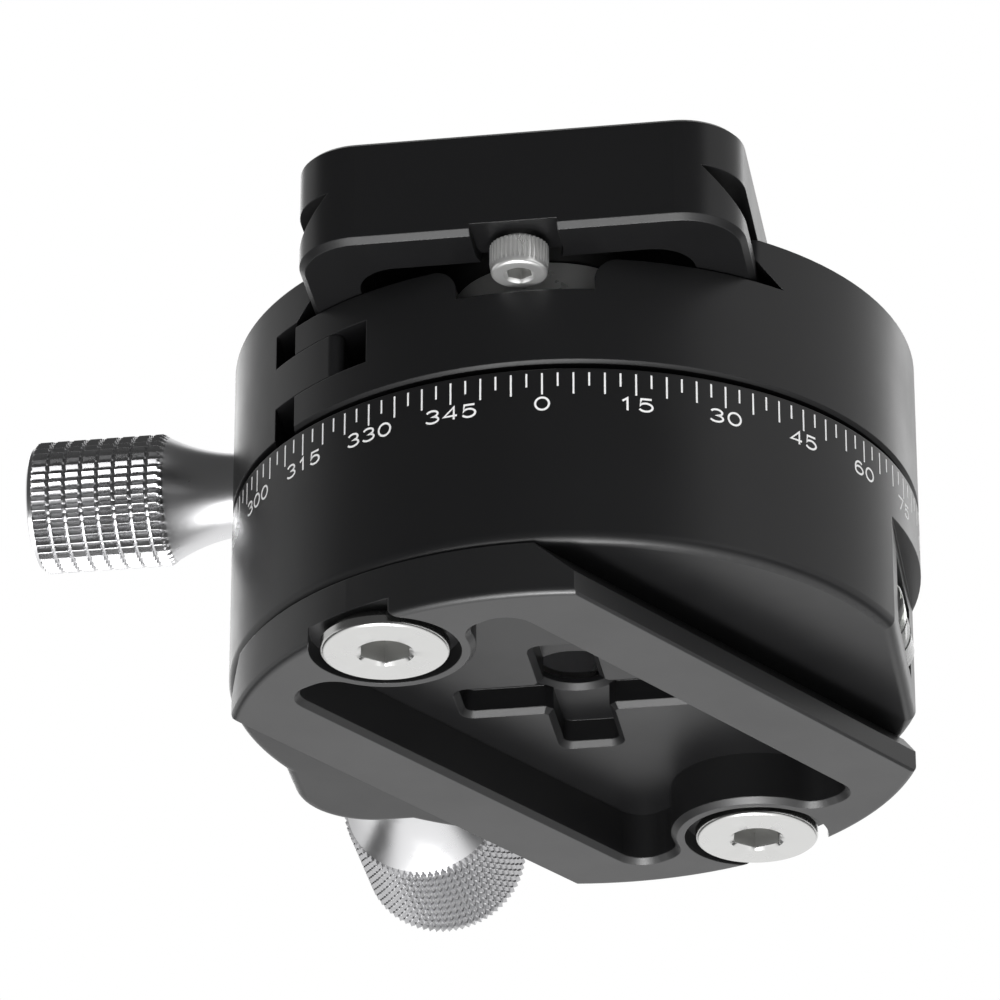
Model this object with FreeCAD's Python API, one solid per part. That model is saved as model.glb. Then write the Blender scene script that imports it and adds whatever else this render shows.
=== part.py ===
import FreeCAD, Part
import math
import os

from FreeCAD import Vector

# Panoramic tripod head: a screw-knob clamp that turns on a graduated base, with a dovetail foot
# under the base and a quick-release plate held in the clamp.
#
# Millimetres. The pan axis is the Z axis and Z = 0 is the underside of the foot. The plate slides
# along Y, and the sliding jaw and its knob are on the -X side.

# Overall sizes
BODY_R = 30.0  # radius of the graduated base and of the clamp above it
DOVETAIL_W = 38.0  # width across the lips of the foot and of the plate
LIP_T = 2.0  # height of a lip's upright edge
RUN_GAP = 0.05  # gap between faces that turn or slide on each other
FIT_GAP = 0.1  # radial gap of a stud or pin in the part that moves along it

# Foot
FOOT_T = 4.7
FOOT_TURN = 58.5  # direction of the strip, degrees from +X
FOOT_NECK = 2.7  # how far the dovetail draws in on each side
FOOT_EDGE_R = 0.6  # lower edge at the round ends
FOOT_SIDE_EDGE = 0.2  # lower edge along the straight sides
FOOT_OPENING_W = 24.4
FOOT_OPENING_L = 46.8
FOOT_OPENING_R = 2.2
FOOT_OPENING_EDGE = 0.5
FOOT_SCREW_SPACING = 50.0
FOOT_SCREW_R = 2.95
FOOT_SCREW_HEAD_R = 5.45
FOOT_SCREW_HEAD_T = 1.7
FOOT_SCREW_DEPTH = 8.0  # how far the thread goes into the base
FOOT_SCREW_HEX = 4.0
FOOT_SCREW_RECESS = 0.03  # the head lies this far inside the face
FOOT_HEAD_GAP = 0.95
FOOT_SCREW_BOSS_R = 7.6

# Graduated base
BASE_H = 16.15
BASE_EDGE_R = 1.0
BASE_RIM_EDGE = 0.1
CLAMP_RIM_EDGE = 0.3
WEB_T = 3.5  # floor of the base, under the hub
CENTRE_HOLE_R = 3.5
CENTRE_HOLE_EDGE = 0.5
CROSS_L = 21.0
CROSS_W = 5.9
CROSS_DEPTH = 2.5
CROSS_EDGE = 0.5
CROSS_CORNER_R = 0.8
CROSS_RELIEF_R = 3.9

# Tubular level in a flat on the +X side of the base
FLAT_X = BODY_R - 1.5
FLAT_TOP = 5.55  # below the top of the base
VIAL_R = 2.5
VIAL_L = 11.2
VIAL_Z = 11.35  # vial axis below the top of the base
VIAL_WALL = 0.6
WINDOW_H = 6.6
WINDOW_TOP = 7.15  # below the top of the base
VIAL_GAP = 0.1

# Pan bearing
WASHER_T = 0.5
HUB_FLANGE_R = 17.2
HUB_FLANGE_T = 5.4
HUB_NECK_R = 14.2
HUB_WALL_GAP = 0.3
HUB_BORE_R = 3.5
NUT_R = 23.0
NUT_T = 5.0
NUT_KEY_HOLE_R = 1.1
NUT_KEY_HOLE_DEPTH = 2.5
PAN_GAP = 0.55  # gap between the base and the clamp
HUB_SCREW_R = 1.45
HUB_SCREW_HEAD_R = 2.75
HUB_SCREW_HEAD_T = 3.0
HUB_SCREW_PCD = 23.0
HUB_SCREW_DEPTH = 6.0

# Pan lock: a knob draws a round shoe along Y against the flank of the hub
LOCK_X = -HUB_FLANGE_R - 1.5
LOCK_Z = 10.4
SHOE_R = 3.95
SHOE_BORE_GAP = 0.05
SHOE_Y0 = -5.5
SHOE_Y1 = 15.0
SHOE_GAP = 0.25
LOCK_BOSS_X = -27.8
LOCK_BOSS_Y = BODY_R - 6.1
LOCK_BOSS_H = 11.2
LOCK_BOSS_CORNER_R = 7.0
LOCK_BOSS_EDGE_R = 1.2
LOCK_STUD_R = 2.45
LOCK_STUD_HUB_GAP = 0.6
LOCK_STUD_IN_KNOB = 14.0
LOCK_WASHER_T = 0.5
LOCK_SPOT_R = 5.4  # flat cut into the round of the base behind the knob
LOCK_NECK_R = 4.9
LOCK_NECK_L = 7.3
LOCK_DRUM_R = 7.5
LOCK_DRUM_L = 13.4
LOCK_TEETH = 56

# Clamp
CLAMP_H = 9.85  # underside to channel floor
JAW_H = 4.1  # channel floor to the top of the jaws
SEAT_GAP = 0.15  # plate above the channel floor
JAW_OPEN_GAP = 0.1  # sliding jaw clear of the plate
FINGER_X = -21.1  # end of the fixed fingers
TONGUE_Z0 = 3.25  # tongue above the clamp's underside
TONGUE_T = 3.9
TONGUE_GAP = 0.06
TONGUE_X = -16.4
TONGUE_SLOT_X = -14.03
TONGUE_Y = 8.0  # inner edge of each tongue
TONGUE_END_R = 0.8
JAW_FACE_X = -23.15
JAW_RISE = 0.2  # jaw underside above the clamp's underside
JAW_OVERHANG_Z = 0.3  # underside of the jaw's lip above the channel floor
NOSE_LAND = 0.4
NOSE_CORNER_R = 1.2
GROOVE_W = 11.8
GROOVE_DEPTH = 2.9
GROOVE_END_Y = 16.0
GROOVE_MOUTH_R = 2.0
TOP_EDGE = 0.3

# Clamp screw, along X through the sliding jaw
STUD_R = 2.95
STUD_Z = 5.25  # above the clamp's underside
STUD_INNER_X = -7.0
STUD_OUTER_X = -BODY_R - 13.0
SPOT_X = -BODY_R + 1.7
SPOT_R = 4.7
SPRING_R = STUD_R + 1.0
SPRING_WIRE = 0.7
SPRING_POCKET_R = STUD_R + 1.25
SPRING_BODY_X = -17.5
SPRING_JAW_X = -26.0
SPRING_TURNS = 5
SPRING_END_GAP = 0.05
KNOB_WASHER_T = 0.5
KNOB_NECK_R = 3.7
KNOB_NECK_L = 7.05
KNOB_DRUM_R = 5.85
KNOB_DRUM_L = 11.8
KNOB_TEETH = 44
KNOB_BORE_SPARE = 1.5

# Knob details that both knobs share
TOOTH_DEPTH = 0.4
KNOB_RIM_STEP = 0.05
KNOB_RIM_L = 0.5
NECK_LAND = 1.5
NECK_STEP = 0.05
NECK_FLARE = 0.33  # how much of the flare is reached half way along it

# Quick-release plate
PLATE_L = 70.0
PLATE_X = -0.2  # middle of the plate, as the jaw has drawn it
PLATE_T = 9.6
PLATE_CORNER_R = 5.5
PLATE_EDGE = 0.5
PLATE_TOP_EDGE = 0.35
GROOVE_DRAW = 3.2  # depth of the side grooves
POCKET_W = 28.6
POCKET_L = 60.0
POCKET_DEPTH = 4.4
POCKET_CORNER_R = 3.5
SLOT_W = 6.8
SLOT_L = 35.0
CLIP_RECESS_W = 11.6
CLIP_RECESS_L = 40.0
CLIP_RECESS_DEPTH = 1.4
PAD_W = 8.0
PAD_L = 56.0
PAD_X = 12.2
PAD_T = 1.0
PAD_PROUD = 0.2
PAD_CORNER_R = 2.0

# Stop screws under the plate
STOP_Y = 31.4
STOP_R = 1.45
STOP_HEAD_R = 2.5
STOP_HEAD_T = 2.75
STOP_HEX = 2.0
STOP_RECESS_R = 3.7
STOP_RECESS_DEPTH = 0.9
STOP_HEAD_GAP = 0.5
STOP_DEPTH = 5.0

# Camera screw
CAMERA_R = 3.175
CAMERA_NECK_R = 2.5  # shank below the thread, where the clip sits
CAMERA_Y = -13.0
CAMERA_STAND = 5.0  # thread above the pads
CAMERA_HEAD_R = 8.5
CAMERA_HEAD_T = 3.0
CAMERA_HEAD_GAP = 0.1
CAMERA_TIP_EDGE = 0.5
CAMERA_SLOT_W = 1.8
CAMERA_SLOT_DEPTH = 1.4
CLIP_R = 5.2
CLIP_T = 0.8
CLIP_GAP = 0.05

# Heights that follow from the sizes above
BASE_Z0 = FOOT_T
BASE_Z1 = BASE_Z0 + BASE_H
WEB_Z = BASE_Z0 + WEB_T
FLANGE_Z0 = WEB_Z + WASHER_T + RUN_GAP
FLANGE_Z1 = FLANGE_Z0 + HUB_FLANGE_T
NUT_Z0 = FLANGE_Z1 + RUN_GAP + WASHER_T
CLAMP_Z0 = BASE_Z1 + PAN_GAP
FLOOR_Z = CLAMP_Z0 + CLAMP_H
JAW_Z1 = FLOOR_Z + JAW_H
PLATE_Z0 = FLOOR_Z + SEAT_GAP
PLATE_Z1 = PLATE_Z0 + PLATE_T
POCKET_Z = PLATE_Z0 + POCKET_DEPTH
LIP_HALF = DOVETAIL_W / 2
TONGUE_LOW = CLAMP_Z0 + TONGUE_Z0
STUD_AXIS_Z = CLAMP_Z0 + STUD_Z
LOCK_STUD_Y = math.sqrt((HUB_FLANGE_R + LOCK_STUD_HUB_GAP) ** 2 - (LOCK_X + LOCK_STUD_R) ** 2)

X = Vector(1, 0, 0)
Y = Vector(0, 1, 0)
Z = Vector(0, 0, 1)
ORIGIN = Vector(0, 0, 0)


def disc(radius, z0, z1, x=0.0, y=0.0):
    return Part.makeCylinder(radius, z1 - z0, Vector(x, y, z0))


def ring(outer, inner, z0, z1):
    return disc(outer, z0, z1).cut(disc(inner, z0, z1))


def rod_x(radius, x0, x1, y, z):
    return Part.makeCylinder(radius, x1 - x0, Vector(x0, y, z), X)


def rod_y(radius, y0, y1, x, z):
    return Part.makeCylinder(radius, y1 - y0, Vector(x, y0, z), Y)


def block(x0, x1, y0, y1, z0, z1):
    return Part.makeBox(x1 - x0, y1 - y0, z1 - z0, Vector(x0, y0, z0))


def outline_face(points):
    return Part.Face(Part.makePolygon(points + points[:1]))


def edges_where(shape, test):
    return [edge for edge in shape.Edges if test(edge)]


def is_upright(edge):
    box = edge.BoundBox
    return box.XLength < 1e-6 and box.YLength < 1e-6 and box.ZLength > 1e-6


def lies_at(z):
    def test(edge):
        box = edge.BoundBox
        return abs(box.ZMin - z) < 1e-6 and abs(box.ZMax - z) < 1e-6
    return test


def rounded_block(half_x, half_y, corner_r, z0, z1):
    solid = block(-half_x, half_x, -half_y, half_y, z0, z1)
    return solid.makeFillet(corner_r, edges_where(solid, is_upright))


def turned(shape, degrees):
    copy = shape.copy()
    copy.rotate(ORIGIN, Z, degrees)
    return copy


def hexagon(across_flats, z0, z1, x=0.0, y=0.0):
    radius = across_flats / math.sqrt(3)
    angles = [math.radians(30 + 60 * k) for k in range(6)]
    points = [Vector(x + radius * math.cos(a), y + radius * math.sin(a), z0) for a in angles]
    return outline_face(points).extrude(Vector(0, 0, z1 - z0))


def foot_screw_places():
    reach = FOOT_SCREW_SPACING / 2
    turn = math.radians(FOOT_TURN)
    return [(side * reach * math.cos(turn), side * reach * math.sin(turn)) for side in (-1, 1)]


def foot_opening():
    """The cut through the middle of the foot, drawn along X and then turned."""
    tool = block(-FOOT_OPENING_L / 2, FOOT_OPENING_L / 2, -FOOT_OPENING_W / 2, FOOT_OPENING_W / 2,
                 0, FOOT_T)
    for side in (-1, 1):
        tool = tool.cut(disc(FOOT_SCREW_BOSS_R, 0, FOOT_T, side * FOOT_SCREW_SPACING / 2))
    tool = tool.makeFillet(FOOT_OPENING_R, edges_where(tool, is_upright))
    return turned(tool, FOOT_TURN)


def foot_plate():
    neck = LIP_HALF - FOOT_NECK
    edge = FOOT_SIDE_EDGE
    half = [(LIP_HALF - edge, 0), (LIP_HALF, edge), (LIP_HALF, LIP_T), (neck, LIP_T + FOOT_NECK), (neck, FOOT_T)]
    if neck_is_short():
        half = half[:4]
    section = [Vector(-BODY_R, y, z) for y, z in half] + [Vector(-BODY_R, -y, z) for y, z in half[::-1]]
    strip = outline_face(section).extrude(Vector(2 * BODY_R, 0, 0))
    round_blank = disc(BODY_R, 0, FOOT_T)
    round_blank = round_blank.makeFillet(FOOT_EDGE_R, edges_where(round_blank, lies_at(0)))
    plate = turned(strip, FOOT_TURN).common(round_blank).cut(foot_opening())
    inner = edges_where(plate, lies_at(0))
    inner = [edge for edge in inner if inside_opening(edge)]
    plate = plate.makeChamfer(FOOT_OPENING_EDGE, inner)
    seat = FOOT_SCREW_RECESS + FOOT_SCREW_HEAD_T
    for x, y in foot_screw_places():
        plate = plate.cut(disc(FOOT_SCREW_HEAD_R + FOOT_HEAD_GAP, 0, seat, x, y))
        plate = plate.cut(disc(FOOT_SCREW_R + RUN_GAP, 0, FOOT_T, x, y))
    return plate


def neck_is_short():
    """True where the sloped side reaches the top of the foot with no upright part left."""
    return LIP_T + FOOT_NECK >= FOOT_T - 1e-6


def inside_opening(edge):
    """True for an edge that lies on the rim of the opening rather than on the outer outline."""
    turn = math.radians(-FOOT_TURN)
    middle = edge.valueAt((edge.FirstParameter + edge.LastParameter) / 2)
    along = middle.x * math.cos(turn) - middle.y * math.sin(turn)
    across = middle.x * math.sin(turn) + middle.y * math.cos(turn)
    return abs(along) < FOOT_OPENING_L / 2 + 1e-3 and abs(across) < FOOT_OPENING_W / 2 + 1e-3


def foot_screw(x, y):
    z0 = FOOT_SCREW_RECESS
    seat = z0 + FOOT_SCREW_HEAD_T
    head = disc(FOOT_SCREW_HEAD_R, z0, seat)
    head = head.makeChamfer(0.25, edges_where(head, lies_at(z0)))
    screw = head.fuse(disc(FOOT_SCREW_R, z0, FOOT_T + FOOT_SCREW_DEPTH))
    screw = screw.cut(hexagon(FOOT_SCREW_HEX, z0, z0 + FOOT_SCREW_HEX * 0.6))
    screw.translate(Vector(x, y, 0))
    return screw


def foot_screws():
    return Part.makeCompound([foot_screw(x, y) for x, y in foot_screw_places()])


def cross_recess():
    """Cross-shaped recess with a bevelled mouth, in the underside of the base."""
    half_l = CROSS_L / 2 - CROSS_EDGE
    half_w = CROSS_W / 2 - CROSS_EDGE
    top = BASE_Z0 + CROSS_DEPTH
    tool = disc(CROSS_RELIEF_R, BASE_Z0, top)
    for turn in (0, 90):
        arm = rounded_block(half_l, half_w, CROSS_CORNER_R, BASE_Z0, top)
        mouth_x = half_l + CROSS_EDGE
        mouth_y = half_w + CROSS_EDGE
        low = rounded_block(mouth_x, mouth_y, CROSS_CORNER_R + CROSS_EDGE, BASE_Z0, BASE_Z0 + CROSS_EDGE)
        low = low.makeChamfer(CROSS_EDGE - 0.01, edges_where(low, lies_at(BASE_Z0 + CROSS_EDGE)))
        tool = tool.fuse(turned(arm.fuse(low), turn))
    mouth = Part.makeCone(CROSS_RELIEF_R + CROSS_EDGE, CROSS_RELIEF_R, CROSS_EDGE, Vector(0, 0, BASE_Z0))
    return tool.fuse(mouth)


def base_blank():
    body = disc(BODY_R, BASE_Z0, BASE_Z1)
    flat_z1 = BASE_Z1 - FLAT_TOP
    body = body.cut(block(FLAT_X, BODY_R + 1, -BODY_R, BODY_R, BASE_Z0, flat_z1))
    body = body.makeFillet(BASE_EDGE_R, edges_where(body, lies_at(BASE_Z0)))
    body = body.makeChamfer(BASE_RIM_EDGE, edges_where(body, lies_at(BASE_Z1)))
    return body.fuse(lock_boss())


def lock_boss():
    """Block that carries the pan lock, grown out of the base towards -X and +Y."""
    right = 2 * LOCK_X - LOCK_BOSS_X
    z1 = BASE_Z0 + LOCK_BOSS_H
    boss = block(LOCK_BOSS_X, right, 0, LOCK_BOSS_Y, BASE_Z0, z1)

    def outer_corner(edge):
        return is_upright(edge) and edge.BoundBox.XMin < LOCK_X and edge.BoundBox.YMin > 1
    boss = boss.makeFillet(LOCK_BOSS_CORNER_R, edges_where(boss, outer_corner))

    def outer_rim(edge):
        box = edge.BoundBox
        level = lies_at(BASE_Z0)(edge) or lies_at(z1)(edge)
        return level and box.YMax > 1 and box.XMin < right - 1e-3
    return boss.makeFillet(LOCK_BOSS_EDGE_R, edges_where(boss, outer_rim))


def dial_base():
    base = base_blank()
    base = base.cut(disc(HUB_FLANGE_R + HUB_WALL_GAP, WEB_Z, BASE_Z1))
    base = base.cut(disc(NUT_R, NUT_Z0, BASE_Z1))
    base = base.cut(disc(CENTRE_HOLE_R, BASE_Z0, WEB_Z))
    hole_z = BASE_Z0 + CROSS_DEPTH
    edge = CENTRE_HOLE_EDGE
    base = base.cut(Part.makeCone(CENTRE_HOLE_R + edge, CENTRE_HOLE_R, edge, Vector(0, 0, hole_z)))
    base = base.cut(cross_recess())
    shoe_bore = rod_y(SHOE_R + SHOE_BORE_GAP, SHOE_Y0 - 2, LOCK_BOSS_Y, LOCK_X, LOCK_Z)
    spot = rod_y(LOCK_SPOT_R, LOCK_BOSS_Y, BODY_R + 1, LOCK_X, LOCK_Z)
    base = base.cut(shoe_bore.fuse(spot))
    for x, y in foot_screw_places():
        base = base.cut(disc(FOOT_SCREW_R + RUN_GAP, BASE_Z0, BASE_Z0 + FOOT_SCREW_DEPTH + 0.5, x, y))
    vial_x = FLAT_X - VIAL_R
    half = VIAL_L / 2 + VIAL_GAP
    top = BASE_Z1 - WINDOW_TOP
    window = block(vial_x, FLAT_X + 1, -half, half, top - WINDOW_H, top)
    trough = rod_y(VIAL_R + VIAL_GAP, -half, half, vial_x, BASE_Z1 - VIAL_Z)
    return base.cut(window.fuse(trough))


def level_vial():
    x = FLAT_X - VIAL_R
    z = BASE_Z1 - VIAL_Z
    half = VIAL_L / 2
    vial = rod_y(VIAL_R, -half, half, x, z)
    return vial.cut(rod_y(VIAL_R - VIAL_WALL, -half + 1, half - 1, x, z))


def lower_thrust_washer():
    return ring(HUB_FLANGE_R - 0.2, CENTRE_HOLE_R + 1.5, WEB_Z, WEB_Z + WASHER_T)


def upper_thrust_washer():
    z0 = FLANGE_Z1 + RUN_GAP
    return ring(HUB_FLANGE_R, HUB_NECK_R + FIT_GAP, z0, z0 + WASHER_T)


def retaining_nut():
    nut = ring(NUT_R - RUN_GAP, HUB_NECK_R + FIT_GAP, NUT_Z0, NUT_Z0 + NUT_T)
    top = NUT_Z0 + NUT_T
    middle = (NUT_R + HUB_NECK_R) / 2
    for k in range(2):
        hole = disc(NUT_KEY_HOLE_R, top - NUT_KEY_HOLE_DEPTH, top, middle)
        nut = nut.cut(turned(hole, 180 * k))
    return nut


def hub_screw_places():
    reach = HUB_SCREW_PCD / 2
    angles = [math.radians(120 * k) for k in range(3)]
    return [(reach * math.cos(a), reach * math.sin(a)) for a in angles]


def pan_hub():
    hub = disc(HUB_FLANGE_R, FLANGE_Z0, FLANGE_Z1).fuse(disc(HUB_NECK_R, FLANGE_Z0, CLAMP_Z0))
    hub = hub.cut(disc(HUB_BORE_R, FLANGE_Z0, CLAMP_Z0))
    for x, y in hub_screw_places():
        hub = hub.cut(disc(HUB_SCREW_R + RUN_GAP, CLAMP_Z0 - HUB_SCREW_DEPTH - 0.5, CLAMP_Z0, x, y))
    return hub


def socket_screw(shank_r, head_r, head_t, hex_size, length):
    """Cap screw along -Z with its head resting on Z = 0."""
    head = disc(head_r, 0, head_t)
    head = head.makeChamfer(head_r * 0.1, edges_where(head, lies_at(head_t)))
    screw = head.fuse(disc(shank_r, -length, 0))
    return screw.cut(hexagon(hex_size, head_t * 0.45, head_t))


def hub_seat_z():
    return FLOOR_Z - HUB_SCREW_HEAD_T - 0.4


def hub_screws():
    screws = []
    length = hub_seat_z() - CLAMP_Z0 + HUB_SCREW_DEPTH
    for x, y in hub_screw_places():
        head = disc(HUB_SCREW_HEAD_R, 0, HUB_SCREW_HEAD_T)
        screw = head.fuse(disc(HUB_SCREW_R, -length, 0))
        screw.translate(Vector(x, y, hub_seat_z()))
        screws.append(screw)
    return Part.makeCompound(screws)


def brake_shoe():
    shoe = rod_y(SHOE_R, SHOE_Y0, SHOE_Y1, LOCK_X, LOCK_Z)
    shoe = shoe.cut(disc(HUB_FLANGE_R + SHOE_GAP, LOCK_Z - SHOE_R, LOCK_Z + SHOE_R))
    return shoe.cut(rod_y(LOCK_STUD_R + FIT_GAP, LOCK_STUD_Y - 1, SHOE_Y1, LOCK_X, LOCK_Z))


def toothed_drum(radius, teeth, z0, z1):
    """Drum with pointed teeth all round, drawn as a closed outline and pushed up."""
    points = []
    for k in range(2 * teeth):
        angle = math.pi * k / teeth
        r = radius if k % 2 == 0 else radius - TOOTH_DEPTH
        points.append(Vector(r * math.cos(angle), r * math.sin(angle), z0))
    return outline_face(points).extrude(Vector(0, 0, z1 - z0))


def knob(neck_r, neck_l, drum_r, drum_l, teeth, bore_r, bore_l):
    """Flared knob along +Z, with its neck starting at Z = 0."""
    shoulder = drum_r - TOOTH_DEPTH - NECK_STEP
    end = neck_l + drum_l
    middle_z = (NECK_LAND + neck_l) / 2
    middle_r = neck_r + (shoulder - neck_r) * NECK_FLARE
    start = Vector(neck_r, 0, NECK_LAND)
    flare = Part.Arc(start, Vector(middle_r, 0, middle_z), Vector(shoulder, 0, neck_l))
    rim_r = drum_r - KNOB_RIM_STEP - TOOTH_DEPTH
    points = [(shoulder, neck_l), (rim_r, end), (rim_r, end + KNOB_RIM_L), (0, end + KNOB_RIM_L),
              (0, 0), (neck_r, 0), (neck_r, NECK_LAND)]
    path = [Vector(r, 0, z) for r, z in points]
    wire = Part.Wire([flare.toShape()] + Part.makePolygon(path).Edges)
    core = Part.Face(wire).revolve(ORIGIN, Z, 360)
    body = core.fuse(toothed_drum(drum_r, teeth, neck_l, end))
    return body.cut(disc(bore_r, 0, bore_l))


def lock_knob():
    body = knob(LOCK_NECK_R, LOCK_NECK_L, LOCK_DRUM_R, LOCK_DRUM_L, LOCK_TEETH,
                LOCK_STUD_R + RUN_GAP, LOCK_STUD_IN_KNOB)
    body.rotate(ORIGIN, X, -90)
    body.translate(Vector(LOCK_X, LOCK_BOSS_Y + LOCK_WASHER_T + RUN_GAP, LOCK_Z))
    return body


def lock_washer():
    outer = rod_y(LOCK_NECK_R, LOCK_BOSS_Y, LOCK_BOSS_Y + LOCK_WASHER_T, LOCK_X, LOCK_Z)
    return outer.cut(rod_y(LOCK_STUD_R + FIT_GAP, LOCK_BOSS_Y, LOCK_BOSS_Y + 1, LOCK_X, LOCK_Z))


def lock_stud():
    end = LOCK_BOSS_Y + LOCK_WASHER_T + RUN_GAP + LOCK_STUD_IN_KNOB
    return rod_y(LOCK_STUD_R, LOCK_STUD_Y, end, LOCK_X, LOCK_Z)


def jaw_foot_x(sign):
    """Where the slope of a jaw would meet the plane of the plate's underside, outwards from the axis."""
    gap = JAW_OPEN_GAP if sign < 0 else 0
    return LIP_HALF + LIP_T + sign * PLATE_X + gap


def jaw_profile(sign):
    """Overhanging jaw above the channel floor, seen along Y, for the +X or -X side."""
    foot_x = jaw_foot_x(sign)
    land_z = JAW_Z1 - NOSE_LAND
    nose_x = foot_x - (land_z - PLATE_Z0)
    if sign < 0:
        start = [(foot_x - JAW_OVERHANG_Z, PLATE_Z0 + JAW_OVERHANG_Z)]
        start = [(-JAW_FACE_X, PLATE_Z0 + JAW_OVERHANG_Z)] + start
    else:
        start = [(foot_x + SEAT_GAP, FLOOR_Z)]
    line = start + [(nose_x, land_z), (nose_x, JAW_Z1), (BODY_R + 1, JAW_Z1), (BODY_R + 1, start[0][1])]
    points = [Vector(sign * x, -BODY_R - 1, z) for x, z in line]
    return outline_face(points).extrude(Vector(0, 2 * BODY_R + 2, 0))


def trimmed_jaw(sign):
    """The overhanging jaw cut round to the body, with rounded ends to its nose."""
    jaw = jaw_profile(sign).common(disc(BODY_R, CLAMP_Z0, JAW_Z1))
    nose_x = jaw_foot_x(sign) - (JAW_Z1 - NOSE_LAND - PLATE_Z0)
    limit = math.sqrt(BODY_R ** 2 - nose_x ** 2)
    return jaw.cut(nose_corners(sign, nose_x, limit))


def nose_corners(sign, nose_x, limit):
    """What rounds the two pointed ends of a jaw's nose, seen from above."""
    r = NOSE_CORNER_R
    centre_x = nose_x + r
    centre_y = math.sqrt((BODY_R - r) ** 2 - centre_x ** 2)
    scale = BODY_R / (BODY_R - r)
    tools = []
    for end in (-1, 1):
        points = [Vector(sign * (nose_x - 1), end * centre_y, CLAMP_Z0),
                  Vector(sign * (nose_x - 1), end * (limit + 3), CLAMP_Z0),
                  Vector(sign * centre_x * scale, end * (limit + 3), CLAMP_Z0),
                  Vector(sign * centre_x * scale, end * centre_y * scale, CLAMP_Z0),
                  Vector(sign * centre_x, end * centre_y, CLAMP_Z0)]
        wedge = outline_face(points).extrude(Vector(0, 0, JAW_Z1 - CLAMP_Z0))
        tools.append(wedge.cut(disc(r, CLAMP_Z0, JAW_Z1, sign * centre_x, end * centre_y)))
    return Part.makeCompound(tools)


def stop_groove(side):
    """Groove in the channel floor that takes the head of a stop screw, with a flared mouth."""
    half = GROOVE_W / 2
    z0 = FLOOR_Z - GROOVE_DEPTH
    end = GROOVE_END_Y + half
    groove = block(-half, half, end, BODY_R + 1, z0, FLOOR_Z).fuse(disc(half, z0, FLOOR_Z, 0, end))
    r = GROOVE_MOUTH_R
    for sign in (-1, 1):
        x0 = sign * half
        x1 = sign * (half + r)
        corner = block(min(x0, x1), max(x0, x1), GROOVE_END_Y + half, BODY_R + 1, FLOOR_Z - r, FLOOR_Z)
        corner = corner.cut(rod_y(r, 0, BODY_R + 1, x1, FLOOR_Z - r))
        groove = groove.fuse(corner)
    return groove if side > 0 else turned(groove, 180)


def clamp_body():
    body = disc(BODY_R, CLAMP_Z0, FLOOR_Z)
    body = body.makeChamfer(CLAMP_RIM_EDGE, edges_where(body, lies_at(CLAMP_Z0)))
    body = body.fuse(trimmed_jaw(1)).removeSplitter()
    body = body.cut(block(-BODY_R - 1, FINGER_X, -BODY_R, BODY_R, CLAMP_Z0, FLOOR_Z))
    slot_z0 = TONGUE_LOW - TONGUE_GAP
    slot_z1 = TONGUE_LOW + TONGUE_T + TONGUE_GAP
    for y0, y1 in ((-BODY_R, -TONGUE_Y + 0.5), (TONGUE_Y - 0.5, BODY_R)):
        body = body.cut(block(FINGER_X, TONGUE_SLOT_X, y0, y1, slot_z0, slot_z1))
    for side in (-1, 1):
        body = body.cut(stop_groove(side))
    for x, y in hub_screw_places():
        body = body.cut(disc(HUB_SCREW_R + RUN_GAP, CLAMP_Z0, FLOOR_Z, x, y))
        body = body.cut(disc(HUB_SCREW_HEAD_R + 0.15, hub_seat_z(), FLOOR_Z, x, y))
    body = body.cut(rod_x(STUD_R + RUN_GAP, FINGER_X, STUD_INNER_X, 0, STUD_AXIS_Z))
    return body.cut(rod_x(SPRING_POCKET_R, FINGER_X, SPRING_BODY_X, 0, STUD_AXIS_Z))


def sliding_jaw():
    low = CLAMP_Z0 + JAW_RISE
    block_z1 = PLATE_Z0 + JAW_OVERHANG_Z
    body = block(-BODY_R - 1, JAW_FACE_X, -BODY_R, BODY_R, low, block_z1)
    body = body.common(disc(BODY_R, low, JAW_Z1)).fuse(trimmed_jaw(-1)).removeSplitter()
    reach = math.sqrt(BODY_R ** 2 - TONGUE_X ** 2) + 1
    for side in (-1, 1):
        y0, y1 = sorted((side * TONGUE_Y, side * reach))
        tongue = block(JAW_FACE_X - 1, TONGUE_X, y0, y1, TONGUE_LOW, TONGUE_LOW + TONGUE_T)
        tongue = tongue.common(disc(BODY_R, TONGUE_LOW, TONGUE_LOW + TONGUE_T))

        def tip(edge):
            box = edge.BoundBox
            return is_upright(edge) and box.XMin > TONGUE_X - 0.01 and abs(box.YMin) > TONGUE_Y + 1
        tongue = tongue.makeFillet(TONGUE_END_R, edges_where(tongue, tip))
        body = body.fuse(tongue)
    body = body.removeSplitter()
    body = body.cut(rod_x(STUD_R + FIT_GAP, -BODY_R, JAW_FACE_X, 0, STUD_AXIS_Z))
    body = body.cut(rod_x(SPOT_R, -BODY_R - 1, SPOT_X, 0, STUD_AXIS_Z))
    return body.cut(rod_x(SPRING_POCKET_R, SPRING_JAW_X, JAW_FACE_X, 0, STUD_AXIS_Z))


def clamp_stud():
    return rod_x(STUD_R, STUD_OUTER_X, STUD_INNER_X, 0, STUD_AXIS_Z)


def jaw_spring():
    """Coil round the stud, from the pocket in the clamp body to the pocket in the jaw."""
    middle = SPRING_R - SPRING_WIRE / 2
    start_x = SPRING_JAW_X + SPRING_END_GAP + SPRING_WIRE / 2
    length = SPRING_BODY_X - SPRING_END_GAP - SPRING_WIRE / 2 - start_x
    steps = SPRING_TURNS * 8
    points = []
    for step in range(steps + 1):
        angle = 2 * math.pi * SPRING_TURNS * step / steps
        x = start_x + length * step / steps
        points.append(Vector(x, middle * math.cos(angle), STUD_AXIS_Z + middle * math.sin(angle)))
    spine = Part.makePolygon(points)
    circle = Part.makeCircle(SPRING_WIRE / 2, points[0], points[1] - points[0])
    section = Part.makePolygon(circle.discretize(7))
    return spine.makePipeShell([section], True, False, 1)


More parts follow.
